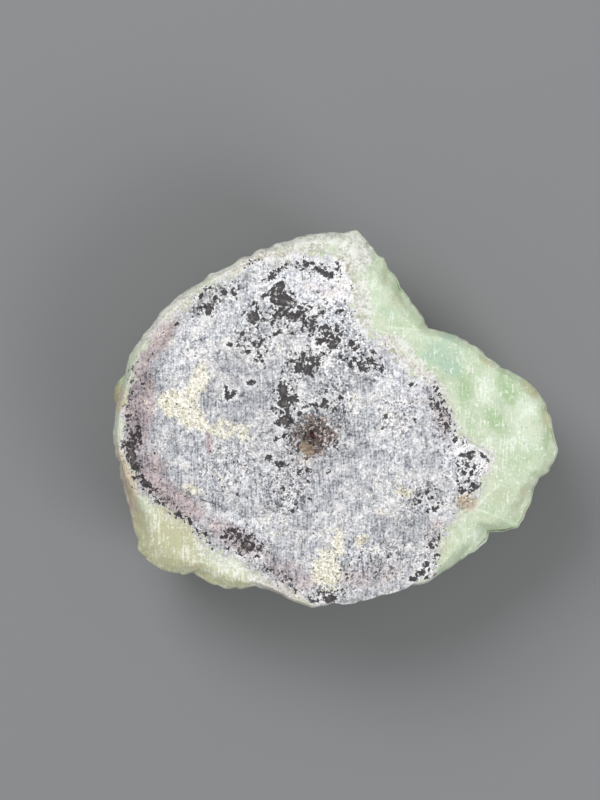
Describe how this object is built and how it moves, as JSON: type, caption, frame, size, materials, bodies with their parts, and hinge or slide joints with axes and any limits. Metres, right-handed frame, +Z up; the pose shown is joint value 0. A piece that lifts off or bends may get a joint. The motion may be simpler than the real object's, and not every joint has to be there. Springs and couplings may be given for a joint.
{
  "type": "botryoidal prehnite specimen",
  "caption": "Loose mineral hand specimen: translucent pale green botryoidal prehnite grown round a plug of altered grey basalt, sawn level on the back, resting on its rounded lobes.",
  "frame": {"origin": "middle of the specimen's bounding box, on the surface that it rests on", "axes": "+Z up, square to the level sawn face; +X along the longest extent, towards the broad green lobe; +Y towards the pointed top of the outline"},
  "size_m": [0.076, 0.064, 0.028],
  "materials": {
    "prehnite": "translucent pale green with white clouds, waxy on the lobes and dull where sawn",
    "altered_basalt": "dull sawn rock, blue grey with white flecks, black grains, a purple grey rind and cream patches"
  },
  "bodies": {
    "root": {"prehnite_crust": "prehnite", "matrix": "altered_basalt"}
  },
  "joints": []
}
